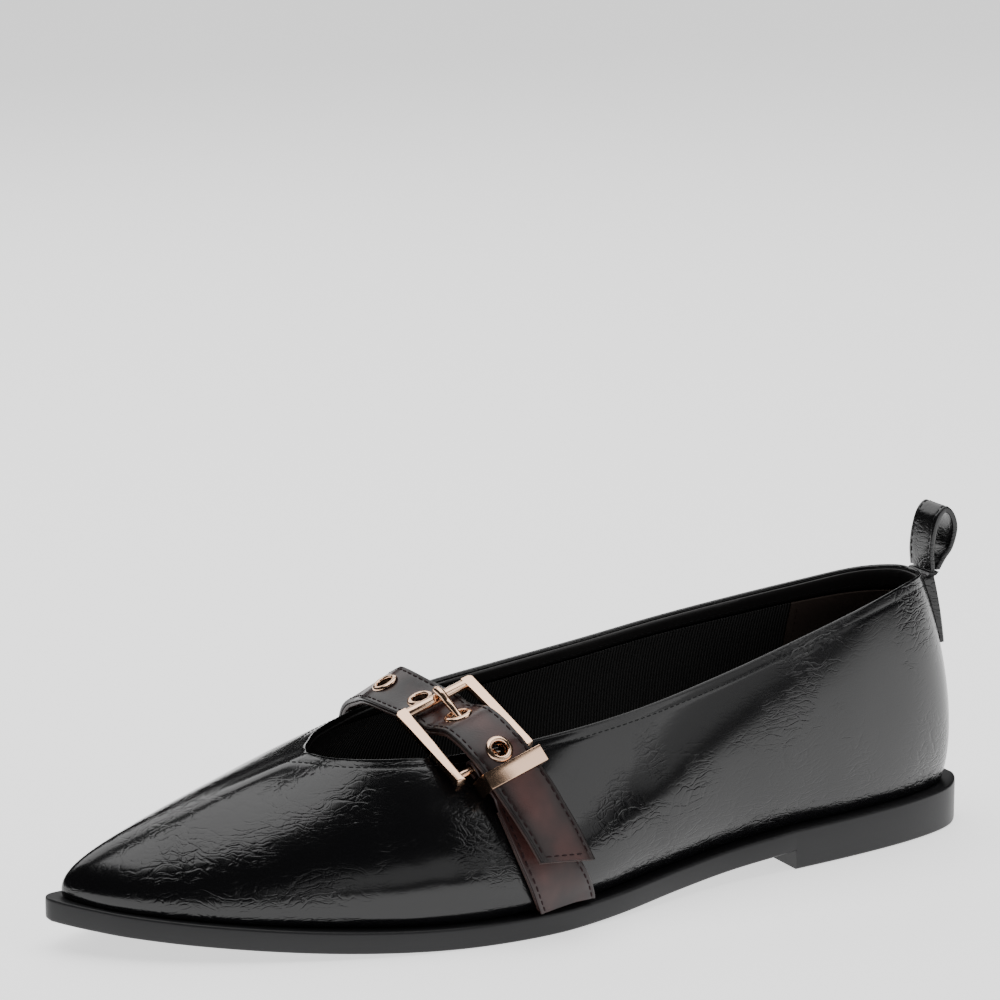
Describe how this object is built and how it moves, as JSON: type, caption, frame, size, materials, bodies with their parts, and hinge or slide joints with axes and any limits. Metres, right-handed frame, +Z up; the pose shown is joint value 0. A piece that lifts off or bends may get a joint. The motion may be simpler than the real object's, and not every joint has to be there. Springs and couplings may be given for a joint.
{
  "type": "tap shoe",
  "caption": "Low-heeled pointed-toe slip-on shoe for the left foot, with an instep strap through a rectangular buckle and a keeper, and a pull loop at the heel.",
  "frame": {"origin": "on the ground, under the middle of the shoe's length and width", "axes": "+X to the heel, -X to the toe, +Y to the inner side of the left foot, +Z up"},
  "size_m": [0.275, 0.0926, 0.091],
  "materials": {
    "sole": "satin moulded rubber",
    "cork": "matte cork",
    "steel": "plain rolled steel",
    "board": "matte fibre board",
    "foam": "matte foam",
    "sock": "matte",
    "upper": "crinkled, high gloss",
    "ribbed_lining": "ribbed cloth",
    "suede": "suede",
    "facing": "smooth, half matte",
    "strap_leather": "burnished, glossy",
    "backing_leather": "smooth, half matte",
    "rose_metal": "polished rose gold plating",
    "loop_leather": "smooth, half matte"
  },
  "bodies": {
    "shoe": {"outsole": "sole", "bottom_filler": "cork", "shank": "steel", "insole_board": "board", "heel_cushion": "foam", "sock_lining": "sock", "upper_leather": "upper", "toe_puff": "board", "heel_counter": "board", "vamp_lining": "ribbed_lining", "heel_lining": "suede", "topline_facing": "facing", "strap": "strap_leather", "strap_backing": "backing_leather", "eyelets": "rose_metal", "chape": "strap_leather", "chape_backing": "backing_leather", "back_strip": "loop_leather"},
    "buckle": {"buckle_frame": "rose_metal"},
    "prong": {"buckle_prong": "rose_metal"},
    "keeper": {"keeper": "rose_metal"},
    "loop": {"pull_loop": "loop_leather"}
  },
  "joints": [
    {"name": "buckle_tilt", "type": "hinge", "parent": "shoe", "child": "buckle", "pos_m": [-0.02827, -0.02535, 0.04603], "axis": [0.9519, 0.1338, 0.2756], "range_deg": [0, 2]},
    {"name": "prong_lift", "type": "hinge", "parent": "buckle", "child": "prong", "pos_m": [-0.02827, -0.02535, 0.04603], "axis": [0.9519, 0.1338, 0.2756], "range_deg": [0, 2]},
    {"name": "keeper_slide", "type": "slide", "parent": "shoe", "child": "keeper", "axis": [0.3041, -0.522, -0.7969], "range_m": [0, 0.002]},
    {"name": "loop_flex", "type": "hinge", "parent": "shoe", "child": "loop", "pos_m": [0.1281, 0.00998, 0.073], "axis": [0, 1, 0], "range_deg": [-15, 25], "stiffness_Nm_per_rad": 0.02}
  ]
}
